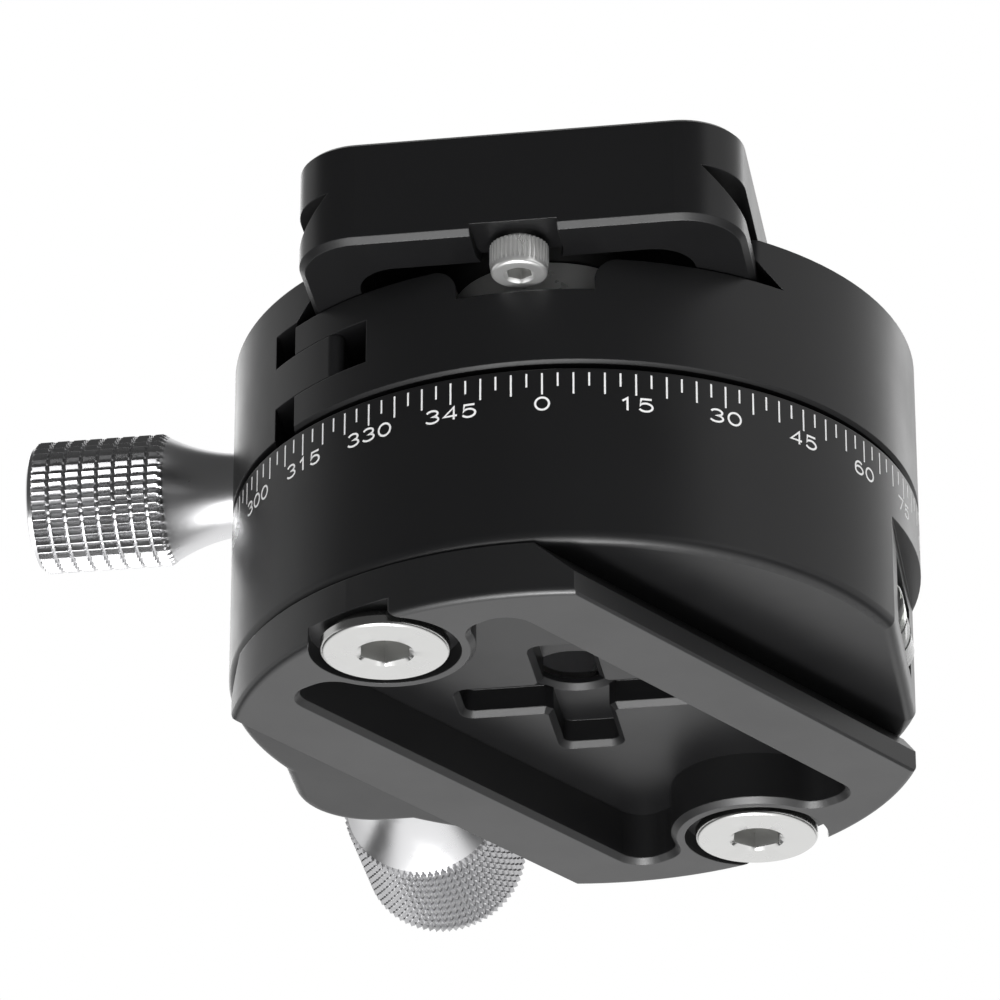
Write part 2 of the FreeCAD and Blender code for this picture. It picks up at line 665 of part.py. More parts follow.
def knob_washer():
    outer = rod_x(SPOT_R - 0.2, SPOT_X - KNOB_WASHER_T, SPOT_X, 0, STUD_AXIS_Z)
    return outer.cut(rod_x(STUD_R + FIT_GAP, SPOT_X - KNOB_WASHER_T, SPOT_X, 0, STUD_AXIS_Z))


def clamp_knob():
    seat = SPOT_X - KNOB_WASHER_T - RUN_GAP
    bore_l = seat - STUD_OUTER_X + KNOB_BORE_SPARE
    body = knob(KNOB_NECK_R, KNOB_NECK_L, KNOB_DRUM_R, KNOB_DRUM_L, KNOB_TEETH, STUD_R + FIT_GAP, bore_l)
    body.rotate(ORIGIN, Y, -90)
    body.translate(Vector(seat, 0, STUD_AXIS_Z))
    return body


def plate_side_groove(sign):
    """V groove along one side of the plate: sloped below, level above."""
    lip_z = PLATE_Z0 + LIP_T
    points = [(LIP_HALF + 1, lip_z - 1), (LIP_HALF - GROOVE_DRAW, lip_z + GROOVE_DRAW),
              (LIP_HALF + 1, lip_z + GROOVE_DRAW)]
    section = [Vector(sign * x, -PLATE_L / 2 - 1, z) for x, z in points]
    return outline_face(section).extrude(Vector(0, PLATE_L + 2, 0))


def slot_tool(width, length, z0, z1):
    return rounded_block(width / 2, length / 2, width / 2 - 1e-3, z0, z1)


def pad_shape(z0, z1):
    return rounded_block(PAD_W / 2, PAD_L / 2, PAD_CORNER_R, z0, z1)


def qr_plate():
    plate = rounded_block(LIP_HALF, PLATE_L / 2, PLATE_CORNER_R, PLATE_Z0, PLATE_Z1)
    plate = plate.makeChamfer(PLATE_EDGE, edges_where(plate, lies_at(PLATE_Z0)))
    plate = plate.makeChamfer(PLATE_TOP_EDGE, edges_where(plate, lies_at(PLATE_Z1)))
    for sign in (-1, 1):
        plate = plate.cut(plate_side_groove(sign))
    plate = plate.cut(rounded_block(POCKET_W / 2, POCKET_L / 2, POCKET_CORNER_R, PLATE_Z0, POCKET_Z))
    plate = plate.cut(slot_tool(SLOT_W, SLOT_L, POCKET_Z, PLATE_Z1))
    plate = plate.cut(slot_tool(CLIP_RECESS_W, CLIP_RECESS_L, PLATE_Z1 - CLIP_RECESS_DEPTH, PLATE_Z1))
    for sign in (-1, 1):
        pad = pad_shape(PLATE_Z1 - PAD_T + PAD_PROUD, PLATE_Z1)
        pad.translate(Vector(sign * PAD_X, 0, 0))
        plate = plate.cut(pad)
        recess_z = PLATE_Z0 + STOP_RECESS_DEPTH
        y = sign * STOP_Y
        plate = plate.cut(disc(STOP_RECESS_R, PLATE_Z0, recess_z, 0, y))
        y0, y1 = sorted((y, sign * (PLATE_L / 2 + 1)))
        plate = plate.cut(block(-STOP_RECESS_R, STOP_RECESS_R, y0, y1, PLATE_Z0, recess_z))
        plate = plate.cut(disc(STOP_R + RUN_GAP, PLATE_Z0, recess_z + STOP_DEPTH, 0, y))
    return plate


def grip_pads():
    pads = []
    for sign in (-1, 1):
        pad = pad_shape(PLATE_Z1 - PAD_T + PAD_PROUD, PLATE_Z1 + PAD_PROUD)
        pad.translate(Vector(sign * PAD_X, 0, 0))
        pads.append(pad)
    return Part.makeCompound(pads)


def stop_screw(sign):
    seat = PLATE_Z0 + STOP_RECESS_DEPTH - STOP_HEAD_GAP
    screw = socket_screw(STOP_R, STOP_HEAD_R, STOP_HEAD_T, STOP_HEX, STOP_HEAD_GAP + STOP_DEPTH - 0.3)
    screw.rotate(ORIGIN, X, 180)
    screw.translate(Vector(0, sign * STOP_Y, seat))
    return screw


def camera_screw():
    head_z1 = POCKET_Z - CAMERA_HEAD_GAP
    head_z0 = head_z1 - CAMERA_HEAD_T
    top = PLATE_Z1 + PAD_PROUD + CAMERA_STAND
    head = disc(CAMERA_HEAD_R, head_z0, head_z1, 0, CAMERA_Y)
    head = head.makeChamfer(0.4, edges_where(head, lies_at(head_z0)))
    thread_z0 = PLATE_Z1 + PAD_PROUD
    screw = head.fuse(disc(CAMERA_NECK_R, head_z0, thread_z0, 0, CAMERA_Y))
    screw = screw.fuse(disc(CAMERA_R, thread_z0, top, 0, CAMERA_Y))
    screw = screw.makeChamfer(CAMERA_TIP_EDGE, edges_where(screw, lies_at(top)))
    half = CAMERA_SLOT_W / 2
    reach = CAMERA_HEAD_R + 1
    slot = block(-reach, reach, CAMERA_Y - half, CAMERA_Y + half, head_z0, head_z0 + CAMERA_SLOT_DEPTH)
    return screw.cut(slot)


def screw_clip():
    z0 = PLATE_Z1 - CLIP_RECESS_DEPTH + RUN_GAP
    clip = disc(CLIP_R, z0, z0 + CLIP_T, 0, CAMERA_Y)
    clip = clip.cut(disc(CAMERA_NECK_R + CLIP_GAP, z0, z0 + CLIP_T, 0, CAMERA_Y))
    half = CAMERA_NECK_R * 0.8
    return clip.cut(block(-half, half, CAMERA_Y, CAMERA_Y + CLIP_R + 1, z0, z0 + CLIP_T))


def on_plate(make):
    """A piece of the plate group, drawn about X = 0 and moved to where the plate is held."""
    def moved():
        shape = make()
        shape.translate(Vector(PLATE_X, 0, 0))
        return shape
    return moved


PIECES = {
    "foot_plate": foot_plate,
    "foot_screws": foot_screws,
    "dial_base": dial_base,
    "level_vial": level_vial,
    "lower_thrust_washer": lower_thrust_washer,
    "pan_hub": pan_hub,
    "upper_thrust_washer": upper_thrust_washer,
    "retaining_nut": retaining_nut,
    "hub_screws": hub_screws,
    "brake_shoe": brake_shoe,
    "lock_stud": lock_stud,
    "lock_washer": lock_washer,
    "lock_knob": lock_knob,
    "clamp_body": clamp_body,
    "clamp_stud": clamp_stud,
    "jaw_spring": jaw_spring,
    "sliding_jaw": sliding_jaw,
    "knob_washer": knob_washer,
    "clamp_knob": clamp_knob,
    "qr_plate": on_plate(qr_plate),
    "grip_pads": on_plate(grip_pads),
    "front_stop_screw": on_plate(lambda: stop_screw(-1)),
    "rear_stop_screw": on_plate(lambda: stop_screw(1)),
    "camera_screw": on_plate(camera_screw),
    "screw_clip": on_plate(screw_clip),
}


def main():
    os.makedirs("parts", exist_ok=True)
    for name, make in PIECES.items():
        shape = make()
        shape.exportStep("parts/" + name + ".step")
        print(name, len(shape.Solids), round(shape.Volume, 2), shape.isValid())


main()
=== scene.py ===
import math

import bmesh
import bpy
from mathutils import Matrix, Vector

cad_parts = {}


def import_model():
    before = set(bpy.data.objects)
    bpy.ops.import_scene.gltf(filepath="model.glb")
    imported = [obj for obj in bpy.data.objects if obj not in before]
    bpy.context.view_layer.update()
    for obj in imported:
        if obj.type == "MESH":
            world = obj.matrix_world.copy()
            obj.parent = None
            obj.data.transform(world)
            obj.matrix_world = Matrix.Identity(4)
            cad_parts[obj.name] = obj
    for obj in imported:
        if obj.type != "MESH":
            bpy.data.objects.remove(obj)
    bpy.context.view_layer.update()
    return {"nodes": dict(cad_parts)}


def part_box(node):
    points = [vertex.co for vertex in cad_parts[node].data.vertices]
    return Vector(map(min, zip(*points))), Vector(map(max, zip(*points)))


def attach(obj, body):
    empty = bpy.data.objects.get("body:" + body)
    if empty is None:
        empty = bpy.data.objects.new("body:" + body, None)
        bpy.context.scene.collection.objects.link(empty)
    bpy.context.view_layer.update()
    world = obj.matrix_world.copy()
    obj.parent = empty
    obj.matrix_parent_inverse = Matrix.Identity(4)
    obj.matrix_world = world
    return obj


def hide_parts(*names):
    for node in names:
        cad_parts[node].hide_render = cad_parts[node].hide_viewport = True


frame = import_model()
nodes = frame["nodes"]
scene = bpy.context.scene

MM = 0.001
BODY_R = 30.0
SKIN_OUT = 0.012  # painted marks stand this far out of the base
SKIN_IN = 0.05  # and reach this far into it
SCALE_TOP = 20.4
LONG_TICK_LOW = 18.4
SHORT_TICK_LOW = 19.15
TICK_HALF = 0.078
DIGIT_LOW = 16.97  # lower end of the digits' centre lines
DIGIT_W = 1.16
DIGIT_H = 1.14
DIGIT_PITCH = 1.63
STROKE = 0.18
ZERO_TURN = 2.84  # the zero mark, degrees from -Y towards +X
FOOT_SCREW_AT = 25.0  # foot screws, from the pan axis
FOOT_SCREW_TURN = 58.5  # and their turn from X, degrees
FOOT_SHANK_END = 12.7
FOOT_SHANK_L = 10.97
FOOT_HEAD_T = 2.0
STOP_AT = 31.4  # stop screws, from the middle of the plate
STOP_HEAD_T = 2.75
VIAL_R = 2.5
VIAL_OUT = 0.4  # the tube sits this much further out than in the CAD


# Materials

def new_material(name):
    material = bpy.data.materials.new(name)
    material.use_nodes = True
    tree = material.node_tree
    shader = next(n for n in tree.nodes if n.type == "BSDF_PRINCIPLED")
    return material, tree, shader


def add(tree, kind, **inputs):
    node = tree.nodes.new(kind)
    for key, value in inputs.items():
        setattr(node, key, value)
    return node


def place_coordinates(tree):
    return add(tree, "ShaderNodeTexCoord").outputs["Object"]


def grain(tree, scale, detail=3.0, rough=0.6):
    noise = add(tree, "ShaderNodeTexNoise")
    noise.inputs["Scale"].default_value = scale
    noise.inputs["Detail"].default_value = detail
    noise.inputs["Roughness"].default_value = rough
    tree.links.new(place_coordinates(tree), noise.inputs["Vector"])
    return noise.outputs["Fac"]


def ranged(tree, value, low, high):
    node = add(tree, "ShaderNodeMapRange")
    node.inputs["From Min"].default_value = 0.3
    node.inputs["From Max"].default_value = 0.7
    node.inputs["To Min"].default_value = low
    node.inputs["To Max"].default_value = high
    tree.links.new(value, node.inputs["Value"])
    return node.outputs["Result"]


def bump(tree, shader, height, strength, distance, edge=0.0):
    """Fine relief. edge rounds the shading of sharp edges, as real ones are broken."""
    node = add(tree, "ShaderNodeBump")
    if edge:
        soft = add(tree, "ShaderNodeBevel", samples=6)
        soft.inputs["Radius"].default_value = edge
        tree.links.new(soft.outputs["Normal"], node.inputs["Normal"])
    node.inputs["Strength"].default_value = strength
    node.inputs["Distance"].default_value = distance
    tree.links.new(height, node.inputs["Height"])
    tree.links.new(node.outputs["Normal"], shader.inputs["Normal"])


def anodised(name, colour, rough, grit=0.25, sheen=0.5):
    """Blasted and anodised aluminium: a dark satin skin with a very fine grit."""
    material, tree, shader = new_material(name)
    shader.inputs["Base Color"].default_value = (*colour, 1)
    shader.inputs["Specular IOR Level"].default_value = sheen
    cloud = grain(tree, 90.0, 4.0)
    tree.links.new(ranged(tree, cloud, rough - 0.03, rough + 0.05), shader.inputs["Roughness"])
    bump(tree, shader, grain(tree, 7000.0, 2.0, 0.7), grit, 0.00002, 0.00012)
    return material


def bright_metal(name, colour, rough, metal=1.0):
    """Bare machined metal. Below 1, metal lets some light scatter, as worn plating does."""
    material, tree, shader = new_material(name)
    shader.inputs["Base Color"].default_value = (*colour, 1)
    shader.inputs["Metallic"].default_value = metal
    cloud = grain(tree, 300.0, 4.0)
    tree.links.new(ranged(tree, cloud, rough - 0.04, rough + 0.05), shader.inputs["Roughness"])
    return material


def painted(name, colour, rough):
    material, tree, shader = new_material(name)
    cloud = grain(tree, 2500.0, 3.0)
    mix = add(tree, "ShaderNodeMix", data_type="RGBA")
    mix.inputs["A"].default_value = (*[c * 0.9 for c in colour], 1)
    mix.inputs["B"].default_value = (*colour, 1)
    tree.links.new(cloud, mix.inputs["Factor"])
    tree.links.new(mix.outputs["Result"], shader.inputs["Base Color"])
    shader.inputs["Roughness"].default_value = rough
    return material


def rubber(name, colour):
    material, tree, shader = new_material(name)
    shader.inputs["Base Color"].default_value = (*colour, 1)
    shader.inputs["Roughness"].default_value = 0.75
    bump(tree, shader, grain(tree, 2500.0, 4.0), 0.5, 0.0001)
    return material


def clear(name, colour, ior):
    material, tree, shader = new_material(name)
    shader.inputs["Base Color"].default_value = (*colour, 1)
    shader.inputs["Transmission Weight"].default_value = 1.0
    shader.inputs["Roughness"].default_value = 0.02
    shader.inputs["IOR"].default_value = ior
    cloud = grain(tree, 400.0)
    tree.links.new(ranged(tree, cloud, 0.01, 0.03), shader.inputs["Roughness"])
    return material


BLACK = anodised("anodised_black", (0.008, 0.008, 0.0085), 0.36)
PLATE_BLACK = anodised("plate_black", (0.008, 0.008, 0.0085), 0.34)
FOOT_BLACK = anodised("foot_black", (0.01, 0.01, 0.0105), 0.38, sheen=0.8)
SILVER = bright_metal("knob_silver", (0.64, 0.64, 0.65), 0.27)
LOCK_SILVER = bright_metal("lock_silver", (0.5, 0.5, 0.51), 0.33)
SILVER_TURNED = bright_metal("knob_neck", (0.78, 0.78, 0.79), 0.3)
STEEL = bright_metal("screw_steel", (0.68, 0.68, 0.67), 0.24)
STOP_STEEL = bright_metal("stop_steel", (0.86, 0.86, 0.85), 0.3, metal=0.8)
PALE_STEEL = bright_metal("pale_steel", (0.9, 0.9, 0.89), 0.3, metal=0.6)
SOCKET = bright_metal("socket_steel", (0.42, 0.42, 0.41), 0.5)
WHITE = painted("scale_white", (0.86, 0.86, 0.86), 0.6)
HUB = bright_metal("hub_aluminium", (0.6, 0.6, 0.61), 0.3)
BRASS = bright_metal("brass", (0.72, 0.52, 0.22), 0.3)
POLYMER = painted("washer_polymer", (0.75, 0.74, 0.7), 0.5)
DARK_POLYMER = rubber("washer_dark", (0.012, 0.012, 0.012))
PAD = rubber("pad_rubber", (0.012, 0.012, 0.013))
GLASS = clear("vial_glass", (1.0, 1.0, 1.0), 1.47)
LIQUID = clear("vial_liquid", (0.95, 0.97, 0.93), 1.36)


# Meshes

def finished(name, bm, materials, body, replaces=(), place=None, angle=32):
    """Turns a bmesh in millimetres into a piece that rides on a body."""
    bmesh.ops.recalc_face_normals(bm, faces=bm.faces)
    mesh = bpy.data.meshes.new(name)
    bm.to_mesh(mesh)
    bm.free()
    mesh.transform(Matrix.Scale(MM, 4) @ (place or Matrix.Identity(4)))
    mesh.shade_smooth()
    mesh.set_sharp_from_angle(angle=math.radians(angle))
    for material in materials:
        mesh.materials.append(material)
    piece = bpy.data.objects.new(name, mesh)
    scene.collection.objects.link(piece)
    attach(piece, body)
    if replaces:
        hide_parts(*replaces)
    return piece


def skin(bm, rings, angles):
    """Closed surface through rings round the Z axis.

    Each ring is (height, radius or a function of the angle, material index of the band above it).
    """
    loops = []
    for z, radius, _ in rings:
        loop = []
        for a in angles:
            r = radius(a) if callable(radius) else radius
            loop.append(bm.verts.new((r * math.cos(a), r * math.sin(a), z)))
        loops.append(loop)
    count = len(angles)
    for k in range(len(rings) - 1):
        for i in range(count):
            j = (i + 1) % count
            face = bm.faces.new((loops[k][i], loops[k][j], loops[k + 1][j], loops[k + 1][i]))
            face.material_index = rings[k][2]
    first = bm.faces.new(loops[0][::-1])
    first.material_index = rings[0][2]
    last = bm.faces.new(loops[-1])
    last.material_index = rings[-1][2]


def even_angles(count, start=0.0):
    return [start + 2 * math.pi * k / count for k in range(count)]


def hexagonal(across_flats):
    """Radius of a hexagon with corners along Y, as a function of the angle."""
    def radius(a):
        step = math.pi / 3
        return across_flats / 2 / math.cos(((a + step / 2) % step) - step / 2)
    return radius


# Knurled knobs

def toothed(full, depth, teeth, level):
    """Radius round a row of teeth, cut off at a level above the roots from 0 to 1."""
    pitch = 2 * math.pi / teeth

    def radius(a):
        across = (a / pitch) % 1.0
        height = 1.0 - abs(2 * across - 1.0)
        height = min(1.0, height * 1.08)
        return full - depth + depth * min(height, level)
    return radius


def knurled_knob(name, body, node, place, neck, drum, teeth, rows, depth, metal):
    neck_r, land, neck_l = neck
    drum_r, drum_l, rim_r, rim_l = drum
    shoulder = drum_r - depth
    rings = [(0.0, neck_r, 1), (land, neck_r, 1)]
    steps = 28
    centre_z, centre_r, radius = circle_through((land, neck_r), middle_of(neck, shoulder), (neck_l, shoulder))
    for k in range(1, steps + 1):
        z = land + (neck_l - land) * k / steps
        dz = z - centre_z
        r = centre_r - math.sqrt(max(radius ** 2 - dz ** 2, 0.0))
        rings.append((z, min(r, shoulder), 0 if k == steps else 1))
    start = neck_l
    end = neck_l + drum_l
    pitch = drum_l / rows
    half = 0.2
    dip = 0.1
    for k in range(1, 6):
        rings.append((start + depth * 0.28 * k, toothed(drum_r, depth, teeth, 0.2 * k), 0))
    for k in range(1, rows):
        z = start + pitch * k
        rings.append((z - half, toothed(drum_r, depth, teeth, 1.0), 0))
        rings.append((z - 0.08, toothed(drum_r, depth, teeth, dip), 0))
        rings.append((z + 0.08, toothed(drum_r, depth, teeth, dip), 0))
        rings.append((z + half, toothed(drum_r, depth, teeth, 1.0), 0))
    rings.append((end - 0.12, toothed(drum_r, depth, teeth, 1.0), 0))
    rings.append((end, toothed(drum_r, depth, teeth, 0.6), 1))
    rings.append((end, rim_r, 1))
    rings.append((end + rim_l * 0.75, rim_r, 1))
    rings.append((end + rim_l, rim_r - 0.2, 1))
    rings.append((end + rim_l, rim_r - 0.9, 1))
    rings.append((end + rim_l - 0.12, rim_r - 1.1, 1))
    rings.append((end + rim_l - 0.12, 0.3, 1))
    pitch_a = 2 * math.pi / teeth
    cuts = (0.0, 0.2, 0.447, 0.5, 0.553, 0.8)
    angles = [pitch_a * (k + c) for k in range(teeth) for c in cuts]
    bm = bmesh.new()
    skin(bm, rings, angles)
    return finished(name, bm, [metal, SILVER_TURNED], body, (node,), place, 20)


def middle_of(neck, shoulder):
    neck_r, land, neck_l = neck
    return ((land + neck_l) / 2, neck_r + (shoulder - neck_r) * 0.33)


def circle_through(a, b, c):
    """Centre and radius of the circle through three points (z, r)."""
    ax, ay = a
    bx, by = b
    cx, cy = c
    d = 2 * (ax * (by - cy) + bx * (cy - ay) + cx * (ay - by))
    sa, sb, sc = ax * ax + ay * ay, bx * bx + by * by, cx * cx + cy * cy
    ux = (sa * (by - cy) + sb * (cy - ay) + sc * (ay - by)) / d
    uy = (sa * (cx - bx) + sb * (ax - cx) + sc * (bx - ax)) / d
    return ux, uy, math.hypot(ax - ux, ay - uy)


def knobs():
    low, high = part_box("clamp_knob")
    centre = (low + high) / 2 / MM
    place = Matrix.Translation((high.x / MM, centre.y, centre.z)) @ Matrix.Rotation(-math.pi / 2, 4, "Y")
    knurled_knob("clamp_knob_turned", "jaw_knob", "clamp_knob", place,
                 (3.7, 1.5, 7.05), (5.85, 11.8, 5.4, 0.5), 44, 8, 0.4, SILVER)
    low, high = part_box("lock_knob")
    centre = (low + high) / 2 / MM
    place = Matrix.Translation((centre.x, low.y / MM, centre.z)) @ Matrix.Rotation(-math.pi / 2, 4, "X")
    knurled_knob("lock_knob_turned", "lock", "lock_knob", place,
                 (4.9, 1.5, 7.3), (7.5, 13.4, 7.05, 0.5), 76, 10, 0.36, LOCK_SILVER)


# Screws

def socket_head(name, body, node, place, shank_r, shank_l, head_r, head_t, hexagon, depth, ribs=0,
                edge=0.25, metal=STEEL):
    """Screw along +Z from the end of its shank to the top of its head, with a hexagonal socket."""
    count = ribs * 6 if ribs else 96
    angles = even_angles(count)

    def side(a):
        if not ribs:
            return head_r
        wave = math.cos(a * ribs)
        return head_r - 0.1 + 0.1 * max(-1.0, min(1.0, wave * 1.8))
    top = shank_l + head_t
    hexed = hexagonal(hexagon)
    rings = [(0.0, shank_r - 0.3, 0), (0.4, shank_r, 0), (shank_l, shank_r, 0)]
    rim = head_r
    if ribs:
        rim = head_r - 0.1
        rings += [(shank_l, head_r - 0.3, 0), (shank_l + 0.15, side, 0)]
        rings += [(top - 0.95, side, 0), (top - 0.6, rim, 0)]
    else:
        rings += [(shank_l, head_r - 1.1, 0), (shank_l + head_t * 0.55, head_r, 0)]
    for k in range(7):
        a = math.pi / 2 * k / 6
        rings.append((top - edge + edge * math.sin(a), rim - edge + edge * math.cos(a), 0))
    mouth = hexagon / math.sqrt(3) + 0.05
    rings += [(top, mouth + 0.1, 0), (top - 0.22, lambda a: min(hexed(a) + 0.02, mouth), 0),
              (top - 0.26, hexed, 1), (top - depth, hexed, 1), (top - depth - 0.4, 0.2, 1)]
    bm = bmesh.new()
    skin(bm, rings, angles)
    return finished(name, bm, [metal, SOCKET], body, (node,) if node else (), place, 28)


def joined(name, pieces, node):
    """Several pieces on one body made into one that stands for a node."""
    context = {"active_object": pieces[0], "selected_editable_objects": pieces}
    with bpy.context.temp_override(**context):
        bpy.ops.object.join()
    pieces[0].name = name
    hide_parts(node)
    return pieces[0]


def screws():
    turn = math.radians(FOOT_SCREW_TURN)
    made = []
    down = Matrix.Rotation(math.pi, 4, "X")
    for side in (-1, 1):
        x = side * FOOT_SCREW_AT * math.cos(turn)
        y = side * FOOT_SCREW_AT * math.sin(turn)
        place = Matrix.Translation((x, y, FOOT_SHANK_END)) @ down @ Matrix.Rotation(math.radians(-10), 4, "Z")
        made.append(socket_head("foot_screw", "base", None, place, 2.95, FOOT_SHANK_L,
                                5.45, FOOT_HEAD_T, 4.0, 2.3, edge=0.4))
    joined("foot_screws_turned", made, "foot_screws")
    for side, node in ((-1, "front_stop_screw"), (1, "rear_stop_screw")):
        low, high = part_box(node)
        place = Matrix.Translation(((low.x + high.x) / 2 / MM, side * STOP_AT, high.z / MM)) @ down
        socket_head(node + "_turned", "plate", node, place, 1.45,
                    (high.z - low.z) / MM - STOP_HEAD_T, 2.5, STOP_HEAD_T, 2.0, 1.4, ribs=36, edge=0.35,
                    metal=STOP_STEEL)


# Scale

def on_cylinder(radius, angle, z):
    """Point on the base at an angle in degrees from the zero mark, counted towards +X."""
    a = math.radians(ZERO_TURN + angle)
    return Vector((radius * math.sin(a), -radius * math.cos(a), z))


def ticks():
    bm = bmesh.new()
    for k in range(144):
        angle = 2.5 * k
        z0 = LONG_TICK_LOW if k % 2 == 0 else SHORT_TICK_LOW
        z1 = SCALE_TOP
        half = math.degrees(TICK_HALF / BODY_R)
        outer = BODY_R + SKIN_OUT
        inner = BODY_R - SKIN_IN
        corners = []
        for r in (inner, outer):
            for a, z in ((-half, z0), (half, z0), (half, z1), (-half, z1)):
                corners.append(bm.verts.new(on_cylinder(r, angle + a, z)))
        for face in ((4, 5, 6, 7), (0, 3, 2, 1), (0, 1, 5, 4), (1, 2, 6, 5), (2, 3, 7, 6), (3, 0, 4, 7)):
            bm.faces.new([corners[i] for i in face])
    return finished("scale_ticks", bm, [WHITE], "base")


def oval(cx, cy, rx, ry, a0, a1):
    """Points along part of an oval, between two angles in degrees."""
    steps = max(4, int(abs(a1 - a0) / 15))
    points = []
    for k in range(steps + 1):
        a = math.radians(a0 + (a1 - a0) * k / steps)
        points.append((cx + rx * math.cos(a), cy + ry * math.sin(a)))
    return points


DIGITS = {
    "0": [oval(0.5, 0.5, 0.5, 0.5, 0, 360)],
    "1": [[(0.2, 0.76), (0.56, 1.0), (0.56, 0.0)]],
    "2": [oval(0.5, 0.7, 0.46, 0.3, 165, -38) + [(0.03, 0.0), (1.0, 0.0)]],
    "3": [oval(0.47, 0.75, 0.44, 0.25, 160, -90) + oval(0.47, 0.26, 0.5, 0.26, 90, -160)[1:]],
    "4": [[(0.76, 0.0), (0.76, 1.0), (0.0, 0.3), (1.0, 0.3)]],
    "5": [[(0.92, 1.0), (0.16, 1.0), (0.08, 0.5)] + oval(0.48, 0.33, 0.5, 0.33, 140, -155)],
    "6": [oval(0.52, 0.5, 0.5, 0.5, 50, 180) + oval(0.5, 0.31, 0.48, 0.31, 180, 530)[1:]],
    "7": [[(0.02, 1.0), (0.98, 1.0), (0.36, 0.0)]],
    "8": [oval(0.5, 0.75, 0.42, 0.25, 0, 360), oval(0.5, 0.26, 0.5, 0.26, 0, 360)],
    "9": [oval(0.48, 0.5, 0.5, 0.5, 230, 360) + oval(0.5, 0.69, 0.48, 0.31, 0, 350)[1:]],
}


def stroke_sides(points):
    """Left and right edge of a stroke that follows a line of points."""
    closed = (Vector(points[0]) - Vector(points[-1])).length < 1e-4
    count = len(points)
    left, right = [], []
    for k, point in enumerate(points):
        here = Vector(point)
        before = Vector(points[k - 1]) if k else Vector(points[-2]) if closed else here
        after = Vector(points[k + 1]) if k < count - 1 else Vector(points[1]) if closed else here
        first = (here - before).normalized() if (here - before).length > 1e-6 else None
        second = (after - here).normalized() if (after - here).length > 1e-6 else None
        first = first or second
        second = second or first
        middle = (first + second).normalized()
        across = Vector((-middle.y, middle.x))
        reach = STROKE / 2 / max(0.5, middle.dot(first))
        left.append(here + across * reach)
        right.append(here - across * reach)
    return left, right


def add_stroke(bm, points, angle, shift):
    left, right = stroke_sides(points)
    rows = []
    for a, b in zip(left, right):
        row = []
        for radius in (BODY_R - SKIN_IN, BODY_R + SKIN_OUT):
            for p in (a, b):
                turn = angle + math.degrees((p.x + shift) / BODY_R)
                row.append(bm.verts.new(on_cylinder(radius, turn, DIGIT_LOW + p.y)))
        rows.append(row)
    for one, two in zip(rows, rows[1:]):
        for i, j in ((0, 1), (1, 3), (3, 2), (2, 0)):
            bm.faces.new((one[i], one[j], two[j], two[i]))
    bm.faces.new([rows[0][i] for i in (0, 2, 3, 1)])
    bm.faces.new([rows[-1][i] for i in (0, 1, 3, 2)])


def numbers():
    bm = bmesh.new()
    for k in range(24):
        text = str(15 * k)
        start = -(DIGIT_PITCH * (len(text) - 1) + DIGIT_W) / 2
        for place, character in enumerate(text):
            for line in DIGITS[character]:
                points = [(x * DIGIT_W, y * DIGIT_H) for x, y in line]
                add_stroke(bm, points, 15 * k, start + DIGIT_PITCH * place)
    return finished("scale_numbers", bm, [WHITE], "base")


# Level

def rod(bm, rings, count=48):
    skin(bm, rings, even_angles(count))


def level():
    low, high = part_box("level_vial")
    centre = (low + high) / 2 / MM
    half = (high.y - low.y) / 2 / MM
    start = Matrix.Translation((centre.x + VIAL_OUT, centre.y - half, centre.z))
    along = start @ Matrix.Rotation(-math.pi / 2, 4, "X")
    length = 2 * half
    bm = bmesh.new()
    r = VIAL_R
    rod(bm, [(0, 0.3, 0), (0, r - 0.5, 0), (0.15, r - 0.2, 0), (0.5, r, 0), (length - 0.5, r, 0),
             (length - 0.15, r - 0.2, 0), (length, r - 0.5, 0), (length, 0.3, 0)])
    glass = finished("vial_tube", bm, [GLASS], "base", ("level_vial",), along, 40)
    bm = bmesh.new()
    rod(bm, [(0.9, 0.2, 0), (0.9, 1.5, 0), (1.3, 1.9, 0), (length - 1.3, 1.9, 0), (length - 0.9, 1.5, 0),
             (length - 0.9, 0.2, 0)])
    finished("vial_filling", bm, [LIQUID], "base", (), along, 40)
    bm = bmesh.new()
    for z in (length / 2 - 1.7, length / 2 + 1.7):
        inner = r + 0.005
        loops = []
        for radius in (inner, inner + 0.03):
            for dz in (-0.09, 0.09):
                loops.append([bm.verts.new((radius * math.cos(a), radius * math.sin(a), z + dz))
                              for a in even_angles(48)])
        order = ((0, 1), (1, 3), (3, 2), (2, 0))
        for p, q in order:
            for i in range(48):
                j = (i + 1) % 48
                bm.faces.new((loops[p][i], loops[p][j], loops[q][j], loops[q][i]))
    finished("vial_marks", bm, [DARK_POLYMER], "base", (), along)
    bm = bmesh.new()
    arcs = []
    for radius in (r + 0.02, r + 0.06):
        for z in (0.4, length - 0.4):
            arcs.append([bm.verts.new((radius * math.cos(a), radius * math.sin(a), z))
                         for a in (math.radians(100 + 10 * k) for k in range(17))])
    for p, q in ((0, 1), (1, 3), (3, 2), (2, 0)):
        for i in range(16):
            bm.faces.new((arcs[p][i], arcs[p][i + 1], arcs[q][i + 1], arcs[q][i]))
    for i in (0, 16):
        bm.faces.new([arcs[p][i] for p in (0, 1, 3, 2)])
    finished("vial_backing", bm, [WHITE], "base", (), along)
    return glass


# Everything that keeps its own shape

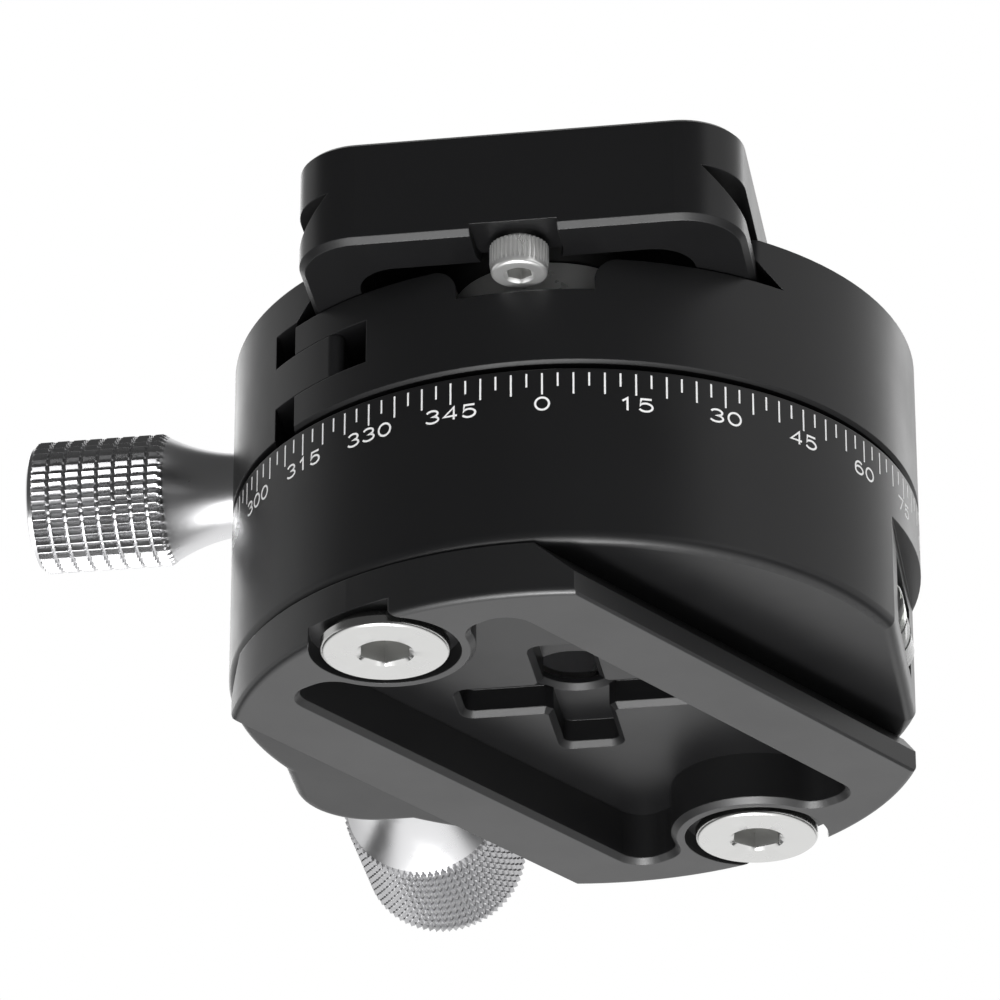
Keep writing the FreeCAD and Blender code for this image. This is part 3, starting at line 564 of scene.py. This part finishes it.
NODE_LOOKS = {
    "foot_plate": FOOT_BLACK,
    "dial_base": BLACK,
    "clamp_body": BLACK,
    "sliding_jaw": BLACK,
    "qr_plate": PLATE_BLACK,
    "grip_pads": PAD,
    "pan_hub": HUB,
    "retaining_nut": HUB,
    "lower_thrust_washer": POLYMER,
    "upper_thrust_washer": POLYMER,
    "lock_washer": DARK_POLYMER,
    "knob_washer": DARK_POLYMER,
    "screw_clip": DARK_POLYMER,
    "brake_shoe": BRASS,
    "hub_screws": STEEL,
    "lock_stud": STEEL,
    "clamp_stud": STEEL,
    "jaw_spring": STEEL,
    "camera_screw": PALE_STEEL,
    "foot_screws": STEEL,
    "front_stop_screw": STEEL,
    "rear_stop_screw": STEEL,
    "lock_knob": SILVER,
    "clamp_knob": SILVER,
    "level_vial": GLASS,
}


def dress_nodes():
    for name, material in NODE_LOOKS.items():
        piece = nodes[name]
        for slot in piece.material_slots:
            slot.link = "OBJECT"
            slot.material = material


# Room, light and camera

def faded(tree, value, start, end):
    node = add(tree, "ShaderNodeMapRange", interpolation_type="SMOOTHSTEP")
    node.inputs["From Min"].default_value = start
    node.inputs["From Max"].default_value = end
    tree.links.new(value, node.inputs["Value"])
    return node.outputs["Result"]


def sheet_glow(tree):
    """Painted light that the floor glows with in reflections: white below and behind the object, falling off
    to the sides and towards the camera.
    """
    split = add(tree, "ShaderNodeSeparateXYZ")
    tree.links.new(place_coordinates(tree), split.inputs["Vector"])
    aside = add(tree, "ShaderNodeMath", operation="ABSOLUTE")
    tree.links.new(split.outputs["X"], aside.inputs[0])
    inside = faded(tree, aside.outputs["Value"], 1.5, 0.7)
    behind = faded(tree, split.outputs["Y"], -1.3, -0.7)
    both = add(tree, "ShaderNodeMath", operation="MULTIPLY")
    tree.links.new(inside, both.inputs[0])
    tree.links.new(behind, both.inputs[1])
    level = add(tree, "ShaderNodeMath", operation="MULTIPLY_ADD")
    level.inputs[1].default_value = 0.93
    level.inputs[2].default_value = 0.07
    tree.links.new(both.outputs["Value"], level.inputs[0])
    return level.outputs["Value"]


def floor_material():
    """Pale paint for the camera. Reflected and refracted rays see it glow instead, as painted light: white
    below and behind the object, dim to the sides and towards the camera.
    """
    material = painted("floor_pale", (0.85, 0.85, 0.85), 0.9)
    tree = material.node_tree
    output = next(n for n in tree.nodes if n.type == "OUTPUT_MATERIAL")
    paint = output.inputs["Surface"].links[0].from_socket
    path = add(tree, "ShaderNodeLightPath")
    seen = add(tree, "ShaderNodeMath", operation="MAXIMUM")
    tree.links.new(path.outputs["Is Glossy Ray"], seen.inputs[0])
    tree.links.new(path.outputs["Is Transmission Ray"], seen.inputs[1])
    # painted light: the floor glows for reflected and refracted rays, bright below and behind the object and
    # dim around it
    white = add(tree, "ShaderNodeEmission")
    tree.links.new(sheet_glow(tree), white.inputs["Strength"])
    mix = add(tree, "ShaderNodeMixShader")
    tree.links.new(seen.outputs["Value"], mix.inputs["Fac"])
    tree.links.new(paint, mix.inputs[1])
    tree.links.new(white.outputs["Emission"], mix.inputs[2])
    tree.links.new(mix.outputs["Shader"], output.inputs["Surface"])
    return material


def floor():
    bm = bmesh.new()
    bmesh.ops.create_grid(bm, x_segments=1, y_segments=1, size=4000.0)
    mesh = bpy.data.meshes.new("floor")
    bm.to_mesh(mesh)
    bm.free()
    mesh.transform(Matrix.Translation((0, 0, -1.0)) @ Matrix.Scale(MM, 4))
    mesh.materials.append(floor_material())
    plane = bpy.data.objects.new("floor", mesh)
    scene.collection.objects.link(plane)


def direction(azimuth, elevation):
    """Unit vector; azimuth in degrees from -Y towards +X."""
    a, e = math.radians(azimuth), math.radians(elevation)
    return Vector((math.sin(a) * math.cos(e), -math.cos(a) * math.cos(e), math.sin(e)))


def world():
    """White all round, with a dark part of the room on the side that the front faces look at."""
    sky = bpy.data.worlds.new("room")
    sky.use_nodes = True
    scene.world = sky
    tree = sky.node_tree
    tree.nodes.clear()
    coordinates = add(tree, "ShaderNodeTexCoord").outputs["Generated"]
    levels = []
    lobes = ((-20, 25, 54, 70, 0.07), (0, 80, 28, 48, 0.07), (95, 25, 20, 42, 0.62), (-98, 25, 18, 42, 0.6))
    for azimuth, elevation, near, far, level in lobes:
        dot = add(tree, "ShaderNodeVectorMath", operation="DOT_PRODUCT")
        dot.inputs[1].default_value = direction(azimuth, elevation)
        tree.links.new(coordinates, dot.inputs[0])
        fade = add(tree, "ShaderNodeMapRange", interpolation_type="SMOOTHSTEP")
        fade.inputs["From Min"].default_value = math.cos(math.radians(far))
        fade.inputs["From Max"].default_value = math.cos(math.radians(near))
        fade.inputs["To Min"].default_value = 1.0
        fade.inputs["To Max"].default_value = level
        tree.links.new(dot.outputs["Value"], fade.inputs["Value"])
        levels.append(fade.outputs["Result"])
    lowest = levels[0]
    for other in levels[1:]:
        least = add(tree, "ShaderNodeMath", operation="MINIMUM")
        tree.links.new(lowest, least.inputs[0])
        tree.links.new(other, least.inputs[1])
        lowest = least.outputs["Value"]
    path = add(tree, "ShaderNodeLightPath")
    seen = add(tree, "ShaderNodeMath", operation="MAXIMUM")
    tree.links.new(path.outputs["Is Camera Ray"], seen.inputs[0])
    tree.links.new(lowest, seen.inputs[1])
    background = add(tree, "ShaderNodeBackground")
    background.inputs["Color"].default_value = (1, 1, 1, 1)
    tree.links.new(seen.outputs["Value"], background.inputs["Strength"])
    output = add(tree, "ShaderNodeOutputWorld")
    tree.links.new(background.outputs["Background"], output.inputs["Surface"])


def lamp(name, azimuth, elevation, distance, size, power, glossy=True):
    data = bpy.data.lights.new(name, "AREA")
    data.shape = "RECTANGLE"
    data.size, data.size_y = size
    data.energy = power
    holder = bpy.data.objects.new(name, data)
    holder.location = direction(azimuth, elevation) * distance
    holder.rotation_euler = (-holder.location).to_track_quat("-Z", "Y").to_euler()
    holder.visible_camera = False
    holder.visible_glossy = glossy
    scene.collection.objects.link(holder)


def lamps():
    lamp("fill", 8, 10, 1.2, (0.5, 0.5), 6.0, glossy=False)
    lamp("low_fill", 8, -28, 1.2, (0.5, 0.5), 3.0, glossy=False)
    lamp("right_rim", 150, 25, 1.2, (0.3, 0.6), 1.0)
    lamp("left_rim", -150, 25, 1.2, (0.3, 0.6), 1.2)
    lamp("under_box", -15, -60, 0.9, (0.5, 0.5), 3.0)
    lamp("below_box", 0, -82, 0.9, (0.3, 0.3), 5.0)


def camera():
    data = bpy.data.cameras.new("camera")
    data.sensor_width = 36.0
    data.lens = 223.3
    data.clip_start = 0.02
    data.clip_end = 20.0
    holder = bpy.data.objects.new("camera", data)
    holder.location = (0.0676, -0.4798, -0.2236)
    tilt = math.radians(27.05)
    forward = Vector((-0.153 * math.cos(tilt), 0.98823 * math.cos(tilt), math.sin(tilt)))
    holder.rotation_euler = forward.to_track_quat("-Z", "Y").to_euler()
    scene.collection.objects.link(holder)
    scene.camera = holder


scene.view_settings.view_transform = "Standard"
dress_nodes()
knobs()
screws()
ticks()
numbers()
level()
floor()
world()
lamps()
camera()

bpy.context.view_layer.update()
